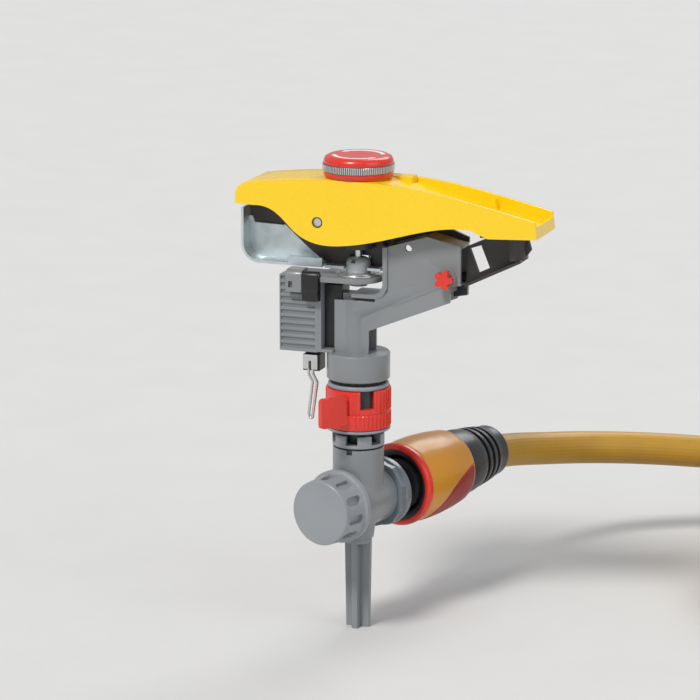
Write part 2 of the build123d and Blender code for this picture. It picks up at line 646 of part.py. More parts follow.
with BuildPart() as deflector:
    slab([(52.6, z + 36.0), (80.5, z + 49.4), (83.4, z + 53.4), (81.4, z + 60.2), (62, z + 60.2),
          (62, z + 57.4), (52.6, z + 53.0)], -1.0, 1.0)
    slab([(54.3, z + 52.3), (59.7, z + 54.1), (63.9, z + 43.8), (58.5, z + 41.2)], -2, 2, Mode.SUBTRACT)
    # lower flange along the sloping edge
    slab([(53.4, z + 35.0), (80.0, z + 48.0), (80.0, z + 49.5), (53.4, z + 36.5)], -6.4, 6.4)
    # top flange and the curved end vane
    slab([(61, z + 58.9), (81.6, z + 58.9), (81.2, z + 60.4), (61, z + 60.4)], -7.5, 7.5)
    with BuildSketch(Plane.XY.offset(z + 49)):
        with BuildLine():
            ThreePointArc((75.2, -7.5), (79.3, 0), (75.2, 7.5))
            Line((75.2, 7.5), (77.1, 7.5))
            ThreePointArc((77.1, 7.5), (81.2, 0), (77.1, -7.5))
            Line((77.1, -7.5), (75.2, -7.5))
        make_face()
    extrude(amount=10)
    for screw_x in deflector_screw_x:
        with BuildSketch(Plane.XY.offset(z + 57)):
            with Locations((screw_x, 4.2)):
                Circle(1.2)
        extrude(amount=6, mode=Mode.SUBTRACT)
save(deflector, "deflector")

with BuildPart() as deflector_screws:
    for screw_x in deflector_screw_x:
        with BuildSketch(Plane.XY.offset(z + 57.7)):
            with Locations((screw_x, 4.2)):
                Circle(2.1)
        extrude(amount=1.2)
        with BuildSketch(Plane.XY.offset(z + 58.9)):
            with Locations((screw_x, 4.2)):
                Circle(1.2)
        extrude(amount=4.6)
save(deflector_screws, "deflector_screws")

# ---- top knob ------------------------------------------------------------------------------------------
knob_low = z + 82.75
with BuildPart() as knob_base:
    turned(
        [(pin_radius + 0.6, knob_low - 6.5), (4, knob_low - 6.5), (4, knob_low), (15.6, knob_low),
         (16.2, knob_low + 0.8), (16.2, knob_low + 2.6), (0, knob_low + 2.6), (0, knob_low - 1),
         (2.35, knob_low - 1)]
    )
save(knob_base, "knob_base")

with BuildPart() as knob_band:
    ring(16.5, 12.5, knob_low + 2.6, knob_low + 6.2)
save(knob_band, "knob_band")

with BuildPart() as knob_cap:
    turned(
        [(0, knob_low + 2.6), (12.5, knob_low + 2.6), (12.5, knob_low + 6.2), (16.2, knob_low + 6.2),
         (16.2, knob_low + 7.4), (15.4, knob_low + 9.0), (13.8, knob_low + 9.8), (0, knob_low + 9.4)]
    )
save(knob_cap, "knob_cap")

# ---- jet diffuser: star knob turning a needle into the jet ----------------------------------------------
with BuildPart() as diffuser_knob:
    with BuildSketch(Plane.XZ.offset(10.6)):
        with Locations((star_x, star_z)):
            Circle(2.9)
            with PolarLocations(3.2, 5):
                Circle(1.35)
    extrude(amount=3.2)
    cross_hole(star_x, star_z, 2.6, -10.6, -8.45, Mode.ADD)
    cross_hole(star_x, star_z, needle_radius + run_gap, -12.8, 0)
save(diffuser_knob, "diffuser_knob")

with BuildPart() as diffuser_needle:
    cross_hole(star_x, star_z, needle_radius, -12.7, -4.6, Mode.ADD)
save(diffuser_needle, "diffuser_needle")


# ---- snap-on hose connector ------------------------------------------------------------------------------
def connector_core_shape(frame, claws):
    """Inner body: socket for the nose, thread flange and the barbed tail that the hose sits on."""
    turned(
        [(snout_radius + 0.1, 31.6), (12.4, 31.6), (12.4, 58), (14.2, 58), (14.2, 63), (11.5, 63), (11.5, 74),
         (6.0, 76), (6.0, hose_end), (4.6, hose_end), (4.6, 50), (snout_radius + 0.1, 48)],
        frame,
    )
    if claws:
        for index in range(3):
            window(frame, index, 32.4, 36.8, 6.0, Mode.SUBTRACT)


def window(frame, index, low, high, width, mode):
    """One of three radial windows, or claws with Mode.ADD, in the socket wall."""
    spoke = spoke_of(frame, 120 * index)
    start = Plane(origin=spoke.origin + spoke.z_dir * low, x_dir=spoke.x_dir, z_dir=spoke.z_dir)
    with BuildSketch(start) as face:
        with Locations((10.0, 0)):
            Rectangle(4.6, width)
    extrude(face.sketch, amount=high - low, mode=mode)


def sleeve_shape(frame):
    """Barrel-shaped sliding sleeve."""
    turned(
        [(16.4, 34.2), (19.4, 34.2), (20.0, 44), (20.0, 52), (19.4, 62), (18.2, 72), (16.6, 72), (16.6, 58.1),
         (14.3, 57.8), (14.3, 53), (16.4, 50)],
        frame,
    )


def lip_shape(frame):
    """Flared lip ring on the front of the sleeve."""
    turned(
        [(16.6, 31.0), (17.6, 30.0), (19.0, 30.0), (19.9, 31.2), (20.0, 33.4), (19.4, 34.2), (14.0, 34.2),
         (13.2, 33.6)],
        frame,
    )


def nut_shape(frame):
    """Hose nut with three deep grip grooves, clear of the sleeve's travel at its front."""
    turned(
        [(14.3, 63.2), (16.3, 63.2), (16.3, 79), (16.0, 84), (15.4, 87.8), (13.2, 87.8), (13.2, 90.2),
         (15.2, 90.2), (14.9, 93.0), (13.1, 93.0), (13.1, 95.4), (14.7, 95.4), (14.3, 98.2),
         (12.7, 98.2), (12.7, 100.6), (14.0, 100.6), (13.1, 104), (12.7, 110),
         (hose_radius + 1.3, 110), (hose_radius + 0.1, hose_end), (12.0, 97), (12.0, 78), (14.3, 76)],
        frame,
    )


with BuildPart() as connector_core:
    connector_core_shape(port, True)
save(connector_core, "connector_core")

with BuildPart() as connector_claws:
    for claw in range(3):
        window(port, claw, 32.5, 36.7, 5.8, Mode.ADD)
save(connector_claws, "connector_claws")

with BuildPart() as connector_sleeve:
    sleeve_shape(port)
save(connector_sleeve, "connector_sleeve")

with BuildPart() as connector_lip:
    lip_shape(port)
save(connector_lip, "connector_lip")

with BuildPart() as hose_nut:
    nut_shape(port)
save(hose_nut, "hose_nut")

with BuildPart() as hose_collet:
    turned([(hose_radius + 0.3, 80), (11.8, 80), (11.8, 96.6), (10.2, 99.0), (hose_radius + 0.3, 99.0)], port)
    for index in range(4):
        spoke = spoke_of(port, 90 * index)
        with BuildSketch(Plane(origin=spoke.origin + spoke.z_dir * 84, x_dir=spoke.x_dir, z_dir=spoke.z_dir)):
            with Locations((10, 0)):
                Rectangle(6, 1.4)
        extrude(amount=20, mode=Mode.SUBTRACT)
save(hose_collet, "hose_collet")

# ---- hose: from the connector, past the edge of the work, onto its coil ------------------------------------
hose_start = port.origin + port.z_dir * hose_end
coil_centre = Vector(233.3, 144.1, 0)
side_way = heading(19.5)                       # direction of the lead where it reaches the coil
layer = 2 * hose_radius


def hose_radii(points):
    """Largest arc that the two runs beside each inner point allow."""
    radii = []
    for before, point, after in zip(points, points[1:], points[2:]):
        first = Vector(*point) - Vector(*before)
        second = Vector(*after) - Vector(*point)
        half_turn = math.radians(first.get_angle(second) / 2)
        radii.append(0.45 * min(first.length, second.length) / math.tan(half_turn))
    return radii


def hose_tube(points, name):
    """Solid hose along straight runs joined by tangent arcs."""
    radii = hose_radii(points)
    with BuildPart() as tube:
        with BuildLine() as route:
            FilletPolyline(*points, radius=radii)
        with BuildSketch(Plane(origin=route.line @ 0, z_dir=route.line % 0)):
            Circle(hose_radius)
        sweep()
    length = sum(edge.length for edge in route.edges())
    share = tube.part.volume / (math.pi * hose_radius ** 2 * length)
    print(name, "length %.1f" % length, "volume share %.4f" % share, "radii", [round(r) for r in radii])
    save(tube, name)


hose_route = [
    (hose_start.X, hose_start.Y, hose_start.Z), (36.4, 124.4, 58.6), (45.2, 145.2, 54.6), (61.2, 168.6, 51.0),
    (86.8, 187.2, 48.2), (115.4, 200.0, 45.6), (145.5, 208.4, 43.4),
]


def coil_point(turn, height):
    """A point on the coil's centre line, turning clockwise seen from above from where the lead arrives."""
    angle = math.radians(19.5 + 90) - 2 * math.pi * turn
    return (coil_centre.X + coil_radius * math.cos(angle), coil_centre.Y + coil_radius * math.sin(angle), height)


coil_start = Vector(*coil_point(0, 2.5 * layer))
hose_route.append(tuple(coil_start - Vector(*side_way) * 30))
hose_route.append(tuple(coil_start))
hose_tube(hose_route, "hose")

arrival = (coil_start - coil_centre - Vector(0, 0, coil_start.Z)).normalized()
coil_section = Plane(origin=coil_centre, x_dir=arrival, z_dir=arrival.cross(Vector(0, 0, 1)))
winding = Axis(coil_centre, (0, 0, -1))
with BuildPart() as hose_coil:
    with BuildSketch(coil_section):
        with Locations((coil_radius, layer)):
            RectangleRounded(layer, 2 * layer, 4)
    revolve(axis=winding)
    with BuildSketch(coil_section):
        with Locations((coil_radius, 2.25 * layer)):
            Rectangle(layer - 0.2, 1.5 * layer)
    revolve(axis=winding, revolution_arc=100)
save(hose_coil, "hose_coil")

tail_start = Vector(*coil_point(coil_turns, hose_radius))
tail_way = Vector(*heading(19.5 - 90))
tail_end_height = 20.05
tail_rise = Vector(0, 0, tail_end_height - hose_radius)
tail_route = [
    tuple(tail_start),
    tuple(tail_start + tail_way * 31),
    tuple(tail_start + tail_way * 69 + tail_rise),
    tuple(tail_start + tail_way * 99 + tail_rise),
]
hose_tube(tail_route, "hose_tail")

# ---- second connector on the hose's far end -------------------------------------------------------------------
far_origin = Vector(*tail_route[-1]) + tail_way * hose_end
far = frame_at(tuple(far_origin), tuple(tail_way * -1))

with BuildPart() as far_core:
    connector_core_shape(far, False)
save(far_core, "far_core")

with BuildPart() as far_sleeve:
    sleeve_shape(far)
save(far_sleeve, "far_sleeve")

with BuildPart() as far_lip:
    lip_shape(far)
save(far_lip, "far_lip")

with BuildPart() as far_nut:
    nut_shape(far)
save(far_nut, "far_nut")
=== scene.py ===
"""Looks for the impact sprinkler: materials, detailed pieces and the hose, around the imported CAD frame."""
import math

import bmesh
import bpy
from mathutils import Matrix, Vector


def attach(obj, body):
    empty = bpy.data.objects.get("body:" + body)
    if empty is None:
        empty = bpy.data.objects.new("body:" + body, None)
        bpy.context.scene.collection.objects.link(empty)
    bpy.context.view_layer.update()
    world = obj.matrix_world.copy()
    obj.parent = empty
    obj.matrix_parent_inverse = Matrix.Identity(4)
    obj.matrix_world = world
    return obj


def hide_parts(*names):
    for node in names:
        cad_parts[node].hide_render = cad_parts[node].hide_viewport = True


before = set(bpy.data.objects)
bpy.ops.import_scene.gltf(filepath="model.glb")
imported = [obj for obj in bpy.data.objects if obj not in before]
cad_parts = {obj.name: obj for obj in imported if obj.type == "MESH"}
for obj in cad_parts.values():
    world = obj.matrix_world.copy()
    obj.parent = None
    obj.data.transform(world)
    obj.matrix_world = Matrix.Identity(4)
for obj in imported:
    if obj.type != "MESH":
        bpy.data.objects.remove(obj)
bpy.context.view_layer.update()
MM = 0.001
COLLAR = 133.5          # height of the rotor collar's top face, mm
PORT = 62.0             # height of the hose port axis, mm
UP = Vector((0, 0, 1))


def heading(degrees):
    """A horizontal unit direction, measured from +X towards +Y."""
    return Vector((math.cos(math.radians(degrees)), math.sin(math.radians(degrees)), 0))


def show(thing):
    """Put a new object in the scene."""
    bpy.context.scene.collection.objects.link(thing)
    return thing


PORT_WAY = heading(74)

# ---- camera: angles in degrees, distances in metres ------------------------------------------------
CAMERA_TURN = 19.5      # bearing of the camera's own sideways direction
CAMERA_LIFT = 13.1      # how far above level it stands
CAMERA_DISTANCE = 1.6744
AIM_RIGHT = -0.00395    # where it aims, from the centre of the rotor collar's top
AIM_UP = 0.00023
SENSOR_WIDTH = 36       # millimetres
LENS_RATIO = 36 / 7     # focal length over sensor width: a long lens, so the perspective is weak


def make_camera():
    """Make the scene's camera, and give the directions from the object to it and to its right."""
    turn, lift = math.radians(CAMERA_TURN), math.radians(CAMERA_LIFT)
    back = Vector((math.sin(turn) * math.cos(lift), -math.cos(turn) * math.cos(lift), math.sin(lift)))
    right = Vector((math.cos(turn), math.sin(turn), 0))
    up = back.cross(right)
    place = Vector((0, 0, COLLAR * MM)) + right * AIM_RIGHT + up * AIM_UP + back * CAMERA_DISTANCE
    data = bpy.data.cameras.new("camera")
    data.sensor_width = SENSOR_WIDTH
    data.lens = SENSOR_WIDTH * LENS_RATIO
    data.clip_start = 0.05
    camera = show(bpy.data.objects.new("camera", data))
    camera.matrix_world = Matrix((
        (right.x, up.x, back.x, place.x),
        (right.y, up.y, back.y, place.y),
        (right.z, up.z, back.z, place.z),
        (0, 0, 0, 1),
    ))
    bpy.context.scene.camera = camera
    return back, right


back, right = make_camera()


# ---- materials ------------------------------------------------------------------------------------
class Nodes:
    """A material's node tree with short calls for the nodes used here."""

    def __init__(self, name):
        self.material = bpy.data.materials.new(name)
        self.material.use_nodes = True
        self.tree = self.material.node_tree
        self.shader = self.tree.nodes["Principled BSDF"]
        self.place = self.add("ShaderNodeTexCoord").outputs["Object"]

    def add(self, kind, **settings):
        node = self.tree.nodes.new(kind)
        for key, value in settings.items():
            setattr(node, key, value)
        return node

    def link(self, source, target):
        self.tree.links.new(source, target)

    def noise(self, scale, detail=4.0, roughness=0.55, stretch=None):
        node = self.add("ShaderNodeTexNoise")
        node.inputs["Scale"].default_value = scale
        node.inputs["Detail"].default_value = detail
        node.inputs["Roughness"].default_value = roughness
        if stretch:
            mapping = self.add("ShaderNodeMapping")
            mapping.inputs["Scale"].default_value = stretch
            self.link(self.place, mapping.inputs["Vector"])
            self.link(mapping.outputs[0], node.inputs["Vector"])
        else:
            self.link(self.place, node.inputs["Vector"])
        return node.outputs["Fac"]

    def range(self, source, low, high, start=0.0, end=1.0):
        node = self.add("ShaderNodeMapRange")
        node.inputs["From Min"].default_value = start
        node.inputs["From Max"].default_value = end
        node.inputs["To Min"].default_value = low
        node.inputs["To Max"].default_value = high
        self.link(source, node.inputs["Value"])
        return node.outputs["Result"]

    def mix(self, factor, first, second):
        node = self.add("ShaderNodeMix", data_type="RGBA")
        for value, socket in ((factor, node.inputs[0]), (first, node.inputs[6]), (second, node.inputs[7])):
            if isinstance(value, (int, float)):
                socket.default_value = value
            elif isinstance(value, (tuple, list)):
                socket.default_value = (*value, 1)
            else:
                self.link(value, socket)
        return node.outputs[2]

    def bump(self, source, distance, strength=1.0, before=None):
        node = self.add("ShaderNodeBump")
        node.inputs["Distance"].default_value = distance
        node.inputs["Strength"].default_value = strength
        self.link(source, node.inputs["Height"])
        if before is not None:
            self.link(before, node.inputs["Normal"])
        return node.outputs["Normal"]

    def edges(self):
        """Where a convex edge has been rubbed: 0 on flats, 1 on edges."""
        point = self.add("ShaderNodeNewGeometry").outputs["Pointiness"]
        return self.range(point, 0.0, 1.0, 0.52, 0.62)

    def set(self, **values):
        for key, value in values.items():
            socket = self.shader.inputs[key.replace("_", " ")]
            if isinstance(value, (int, float)):
                socket.default_value = value
            elif isinstance(value, (tuple, list)):
                socket.default_value = (*value, 1)
            else:
                self.link(value, socket)


def plastic(name, colour, dull, roughness=0.35, coat=0.0, grain=0.00004, grain_scale=900.0, wear=0.25,
            glow=0.0, dirt=0.03):
    """Moulded plastic: slight flow mottling, dust, rubbed edges and fine grain."""
    m = Nodes(name)
    flow = m.noise(22, 3)
    dust = m.noise(140, 5, 0.65)
    base = m.mix(m.range(flow, 0.0, 0.75, 0.35, 0.7), colour, dull)
    pale = tuple(min(1.0, c * 1.15 + 0.02) for c in colour)
    rubbed = m.mix(m.range(m.edges(), 0.0, wear), base, pale)
    dusty = m.mix(m.range(dust, 0.0, dirt, 0.6, 0.85), rubbed, (0.55, 0.5, 0.42))
    fine = m.noise(grain_scale, 2)
    m.set(Base_Color=dusty, Roughness=m.range(dust, roughness - 0.06, roughness + 0.12, 0.3, 0.75),
          Normal=m.bump(fine, grain, 0.6, m.bump(flow, 0.0002, 0.25)))
    m.shader.inputs["Coat Weight"].default_value = coat
    m.shader.inputs["Coat Roughness"].default_value = 0.12
    if glow:
        m.shader.inputs["Subsurface Weight"].default_value = glow
        m.shader.inputs["Subsurface Radius"].default_value = (0.006, 0.003, 0.001)
    return m.material


def metal(name, colour, dull, roughness=0.3, streak=(1, 1, 1), bump=0.00002, scale=400.0, spangle=0.0):
    """Bare or plated metal with fine drawn streaks, and the flake pattern of zinc where spangle is set."""
    m = Nodes(name)
    lines = m.noise(scale, 3, 0.6, streak)
    stain = m.noise(60, 4)
    base = m.mix(m.range(stain, 0.0, 0.8, 0.35, 0.7), colour, dull)
    if spangle:
        flakes = m.add("ShaderNodeTexVoronoi")
        flakes.inputs["Scale"].default_value = 260
        m.link(m.place, flakes.inputs["Vector"])
        tone = m.range(flakes.outputs["Distance"], 0.0, spangle, 0.0, 0.9)
        base = m.mix(tone, base, tuple(min(1.0, c * 1.35) for c in colour))
    rough = m.range(lines, roughness - 0.08, roughness + 0.14, 0.25, 0.75)
    m.set(Base_Color=base, Metallic=1.0, Roughness=rough, Normal=m.bump(lines, bump, 0.7))
    return m.material


def rubber(name, colour):
    """Matt rubber with a fine bloom."""
    m = Nodes(name)
    fine = m.noise(500, 5)
    m.set(Base_Color=m.mix(m.range(fine, 0, 0.7, 0.4, 0.7), colour, tuple(c * 1.8 + 0.02 for c in colour)),
          Roughness=0.75, Normal=m.bump(fine, 0.00008, 0.6))
    return m.material


HOSE_RIBS = 30          # lengthways ribs round the hose


def hose_material():
    """Ochre hose skin with fine lengthways ribs, painted shade in the rib valleys, and scuffs."""
    m = Nodes("hose_skin")
    uv = m.add("ShaderNodeTexCoord").outputs["UV"]
    split = m.add("ShaderNodeSeparateXYZ")
    m.link(uv, split.inputs[0])
    wave = m.add("ShaderNodeMath", operation="SINE")
    times = m.add("ShaderNodeMath", operation="MULTIPLY")
    times.inputs[1].default_value = 2 * math.pi * HOSE_RIBS
    m.link(split.outputs[1], times.inputs[0])
    m.link(times.outputs[0], wave.inputs[0])
    rib = m.range(wave.outputs[0], 0.0, 1.0, -1.0, 1.0)
    scuff = m.noise(55, 6, 0.6)
    base = m.mix(m.range(scuff, 0.0, 0.8, 0.4, 0.72), (0.50, 0.275, 0.022), (0.43, 0.235, 0.028))
    # painted shade: the rib valleys are mixed towards a darker ochre
    shade = m.mix(m.range(rib, 0.12, 0.0), base, (0.33, 0.18, 0.02))
    m.set(Base_Color=shade, Roughness=0.42, Normal=m.bump(rib, 0.00010, 0.5, m.bump(scuff, 0.0002, 0.3)))
    return m.material


MATERIALS = {
    "grey": plastic("grey_plastic", (0.245, 0.258, 0.268), (0.20, 0.212, 0.222), 0.33, 0.2),
    "pale": plastic("pale_plastic", (0.30, 0.32, 0.34), (0.24, 0.26, 0.28), 0.38, 0.1),
    "steel_grey": plastic("glossy_grey_plastic", (0.165, 0.20, 0.225), (0.12, 0.15, 0.17), 0.26, 0.3),
    "bluish": plastic("bluish_plastic", (0.42, 0.47, 0.49), (0.36, 0.40, 0.42), 0.3, 0.2),
    "dark": plastic("dark_plastic", (0.030, 0.032, 0.036), (0.020, 0.022, 0.026), 0.34, 0.1),
    # painted shade: this dark brown stands for the shadow under the yellow cover, on arm_core and the
    # deflector
    "painted_shade_brown": plastic("arm_painted_shade_plastic", (0.040, 0.036, 0.034), (0.026, 0.024, 0.024), 0.38),
    # also used as painted shade: on the case screws and on the shade pieces added further down
    "black_and_shade": plastic("black_plastic", (0.012, 0.012, 0.013), (0.008, 0.008, 0.008), 0.34),
    "yellow": plastic("yellow_plastic", (1.0, 0.66, 0.003), (0.99, 0.63, 0.003), 0.24, 0.3, 0.00001, 700,
                      wear=0.0, glow=0.05, dirt=0.0),
    "red": plastic("red_plastic", (0.76, 0.030, 0.014), (0.66, 0.024, 0.012), 0.27, 0.3, dirt=0.01),
    "orange": plastic("orange_plastic", (0.68, 0.29, 0.014), (0.60, 0.24, 0.010), 0.33, 0.2, dirt=0.01),
    "maroon": plastic("grip_plastic", (0.34, 0.014, 0.010), (0.26, 0.010, 0.008), 0.42, 0.1, dirt=0.01),
    "silver": metal("silver_band", (0.70, 0.70, 0.69), (0.60, 0.60, 0.60), 0.24, (1, 1, 6), 0.000003),
    # painted shade: the knob band under the silver knurl ribs is dark, so the grooves between the ribs read
    # as shade
    "knurl_shade": metal("band_knurl_shade", (0.16, 0.16, 0.16), (0.11, 0.11, 0.11), 0.42, (1, 1, 6), 0.000003),
    "zinc": metal("galvanised_sheet", (0.66, 0.73, 0.76), (0.54, 0.61, 0.64), 0.46,
                  bump=0.00003, scale=300, spangle=0.25),
    "steel": metal("bright_steel", (0.74, 0.74, 0.72), (0.62, 0.62, 0.60), 0.25, (1, 1, 8), 0.000004),
    "wire": metal("spring_wire", (0.5, 0.5, 0.49), (0.3, 0.29, 0.28), 0.3, (8, 8, 1)),
    "white": plastic("print_white", (0.85, 0.84, 0.82), (0.8, 0.79, 0.77), 0.4),
    "rubber": rubber("seal_rubber", (0.012, 0.012, 0.012)),
    "hose": hose_material(),
}
NODE_LOOK = {
    "grey": "spike tee_body rotor_body pivot_frame mode_cap mechanism_cover",
    "pale": "screw_cap bearing_nut collar_retainer thrust_washers rotor_stem nozzle_insert hose_collet",
    "steel_grey": "inlet_adaptor",
    "bluish": "pivot_bush",
    "dark": "bearing_sleeve hose_nut far_nut connector_core connector_claws far_core",
    # arm_core and the deflector carry the painted shade under the cover
    "painted_shade_brown": "arm_core deflector",
    # case_screws are dark as painted shade of the shadowed cavity they sit in
    "black_and_shade": "trip_rocker mode_lever case_screws",
    "yellow": "arm_cover",
    "red": "lower_arc_collar upper_arc_collar knob_base knob_cap diffuser_knob connector_lip far_lip",
    "orange": "connector_sleeve far_sleeve",
    # knob_band carries the painted shade between the knurl ribs
    "knurl_shade": "knob_band",
    "zinc": "arm_bracket",
    "steel": "pivot_pin pivot_washer rocker_pin mode_pin trip_wire wire_clip cover_pin "
             "deflector_screws bracket_rivets diffuser_needle",
    "wire": "bearing_spring rocker_spring torsion_spring",
    "rubber": "cap_washer adaptor_washer inlet_o_ring nut_gasket dust_seal stem_o_ring",
}
# widths of the rounded edges, mm
BEVEL = {"arm_cover": 0.7, "spike": 0.4, "mechanism_cover": 0.15, "rotor_body": 0.45, "pivot_frame": 0.4,
         "tee_body": 0.5, "screw_cap": 0.4, "arm_bracket": 0.2, "deflector": 0.25, "arm_core": 0.4}
DEFAULT_BEVEL = 0.25
NO_BEVEL = ("trip_wire", "bearing_spring", "rocker_spring", "torsion_spring", "inlet_o_ring", "stem_o_ring",
            "hose_coil", "hose", "hose_tail")


def dress_node(name, look):
    """Give a CAD node its material, weld its split corners and round its edges."""
    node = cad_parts[name]
    node.data.materials.clear()
    node.data.materials.append(MATERIALS[look])
    for polygon in node.data.polygons:
        polygon.material_index = 0
    if name in NO_BEVEL:
        return
    weld = node.modifiers.new("weld", "WELD")
    weld.merge_threshold = 0.00001
    bevel = node.modifiers.new("bevel", "BEVEL")
    bevel.width = BEVEL.get(name, DEFAULT_BEVEL) * MM
    bevel.segments = 2
    bevel.limit_method = "ANGLE"
    bevel.angle_limit = math.radians(38)
    bevel.use_clamp_overlap = True
    bevel.harden_normals = False


for look, names in NODE_LOOK.items():
    for name in names.split():
        dress_node(name, look)

# ---- hose: one spline from the connector, through the put-away coil, to the far connector ----------
HOSE_RADIUS = 8.25
HOSE_EXIT = (28.53, 99.49, 62.0)      # where the hose meets the connector's barb
COIL_CENTRE = Vector((233.3, 144.1, 0))
COIL_RADIUS = 86.0
COIL_TURNS = 2.25
COIL_POINTS = 16                      # spline points in each turn
COIL_SPREAD = COIL_RADIUS / math.cos(math.pi / COIL_POINTS) - 0.3   # where the spline's points lie
COIL_START = CAMERA_TURN + 90         # bearing of the coil's first point from its centre
FAR_END_HEIGHT = 20.05                # axis of the connector lying on the ground
COIL_END = COIL_CENTRE + heading(COIL_START - 360 * COIL_TURNS) * COIL_RADIUS
TAIL_WAY = heading(CAMERA_TURN - 90)  # the tail runs straight from the coil's end
FAR_REACH = 202.5                     # along the tail, from the coil's end to the far connector's origin


def coil_height(turn):
    """Height of the hose's centre line over the ground, after so many turns, layer by layer."""
    layer = 2 * HOSE_RADIUS
    level = 2.5
    for start in (0.25, 1.25):
        level -= min(1.0, max(0.0, (turn - start) / 0.17))
    return layer * level


def hose_points():
    """The spline's points: the visible run, one turn after another of the coil, then the tail."""
    points = [
        HOSE_EXIT, (36.4, 124.4, 58.6), (45.2, 145.2, 54.6), (61.2, 168.6, 51.0),
        (86.8, 187.2, 48.2), (115.4, 200.0, 45.6), (145.5, 208.4, 43.4),
    ]
    start = COIL_CENTRE + heading(COIL_START) * COIL_RADIUS
    points.append(tuple(start - heading(CAMERA_TURN) * 30 + UP * coil_height(0)))
    for index in range(int(COIL_TURNS * COIL_POINTS)):
        turn = (index + 0.5) / COIL_POINTS
        place = COIL_CENTRE + heading(COIL_START - 360 * turn) * COIL_SPREAD
        points.append((place.x, place.y, coil_height(turn)))
    for reach, height in ((31, HOSE_RADIUS), (69, FAR_END_HEIGHT), (99, FAR_END_HEIGHT)):
        points.append(tuple(COIL_END + TAIL_WAY * reach + UP * height))
    return points


def make_hose():
    """The leader hose: one curve that stands for the three CAD solids."""
    curve = bpy.data.curves.new("garden_hose", "CURVE")
    curve.dimensions = "3D"
    spline = curve.splines.new("NURBS")
    points = hose_points()
    spline.points.add(len(points) - 1)
    for point, place in zip(spline.points, points):
        point.co = (place[0] * MM, place[1] * MM, place[2] * MM, 1)
    spline.order_u = 3
    spline.use_endpoint_u = True
    spline.resolution_u = 12
    curve.bevel_depth = HOSE_RADIUS * MM
    curve.bevel_resolution = 8
    curve.use_fill_caps = True
    hose = show(bpy.data.objects.new("garden_hose", curve))
    curve.materials.append(MATERIALS["hose"])
    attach(hose, "base")
    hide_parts("hose", "hose_coil", "hose_tail")
    return hose


hose = make_hose()


# ---- mesh helpers for the detailed pieces -----------------------------------------------------------
def add_piece(name, vertices, faces, look, body, smooth=False, bevel=0.0):
    """Make a mesh piece from millimetre vertices, dress it and hang it on its body."""
    mesh = bpy.data.meshes.new(name)
    mesh.from_pydata([tuple(c * MM for c in v) for v in vertices], [], faces)
    work = bmesh.new()
    work.from_mesh(mesh)
    bmesh.ops.recalc_face_normals(work, faces=work.faces)
    work.to_mesh(mesh)
    work.free()
    mesh.materials.append(MATERIALS[look])
    for polygon in mesh.polygons:
        polygon.use_smooth = smooth
    piece = show(bpy.data.objects.new(name, mesh))
    if bevel:
        rounding = piece.modifiers.new("bevel", "BEVEL")
        rounding.width = bevel * MM
        rounding.segments = 2
        rounding.limit_method = "ANGLE"
    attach(piece, body)
    return piece


class Axis:
    """Cylindrical coordinates round one of the sprinkler's axes: radius, angle in degrees, distance along."""

    def __init__(self, origin, way, zero):
        self.origin, self.way, self.zero = Vector(origin), Vector(way).normalized(), Vector(zero).normalized()
        self.side = self.way.cross(self.zero)

    def at(self, radius, angle, along):
        turn = math.radians(angle)
        outward = self.zero * math.cos(turn) + self.side * math.sin(turn)
        return self.origin + self.way * along + outward * radius


RISER = Axis((0, 0, 0), UP, (1, 0, 0))
PORT_AXIS = Axis((0, 0, PORT), PORT_WAY, (PORT_WAY.y, -PORT_WAY.x, 0))
FAR_WAY = -TAIL_WAY
FAR_ORIGIN = COIL_END + TAIL_WAY * FAR_REACH + UP * FAR_END_HEIGHT
FAR_AXIS = Axis(FAR_ORIGIN, FAR_WAY, (FAR_WAY.y, -FAR_WAY.x, 0))


def bars(axis, radius, half_width, height, low, high, angles):
    """Closed half-round bars lying along the axis on a round surface, with tapered ends."""
    vertices, faces = [], []
    section = [(-1.0, -0.6), (-0.75, 0.55), (0.0, 1.0), (0.75, 0.55), (1.0, -0.6)]
    for angle in angles:
        first = len(vertices)
        for along, lift in ((low, 0.2), (low + height, 1.0), (high - height, 1.0), (high, 0.2)):
            for sideways, outward in section:
                reach = radius + height * (outward * lift if outward > 0 else outward)
                vertices.append(axis.at(reach, angle + math.degrees(sideways * half_width / radius), along))
        count = len(section)
        for step in range(3):
            for index in range(count):
                a = first + step * count + index
                b = first + step * count + (index + 1) % count
                faces.append((a, b, b + count, a + count))
        faces.append(tuple(first + index for index in range(count)))
        faces.append(tuple(first + 3 * count + index for index in reversed(range(count))))
    return vertices, faces


def spread(count, skip=()):
    """Evenly spread bearings, leaving out the given (low, high) sectors."""
    kept = []
    for index in range(count):
        angle = -180 + 360 * index / count
        if not any(low <= angle <= high for low, high in skip):
            kept.append(angle)
    return kept


def patch(axis, profile, edge, low, high, steps, lift, across=28):
    """A raised closed skin on a round surface, from low to high along it, between edge's two bearings."""
    outer, inner = [], []
    for step in range(steps + 1):
        along = low + (high - low) * step / steps
        start, stop = edge(along)
        for index in range(across + 1):
            angle = start + (stop - start) * index / across
            rim = min(step, steps - step, index, across - index)
            outer.append(axis.at(profile(along) + (lift if rim > 0 else 0.02), angle, along))
            inner.append(axis.at(profile(along) - 0.3, angle, along))
    vertices = outer + inner
    total = len(outer)
    faces = []
    for step in range(steps):
        for index in range(across):
            a = step * (across + 1) + index
            b, c, d = a + 1, a + across + 2, a + across + 1
            faces.append((a, b, c, d))
            faces.append((total + d, total + c, total + b, total + a))
    border = list(range(across))
    border += [step * (across + 1) + across for step in range(steps)]
    border += [steps * (across + 1) + index for index in range(across, 0, -1)]
    border += [step * (across + 1) for step in range(steps, 0, -1)]
    for a, b in zip(border, border[1:] + border[:1]):
        faces.append((b, a, total + a, total + b))
    return vertices, faces


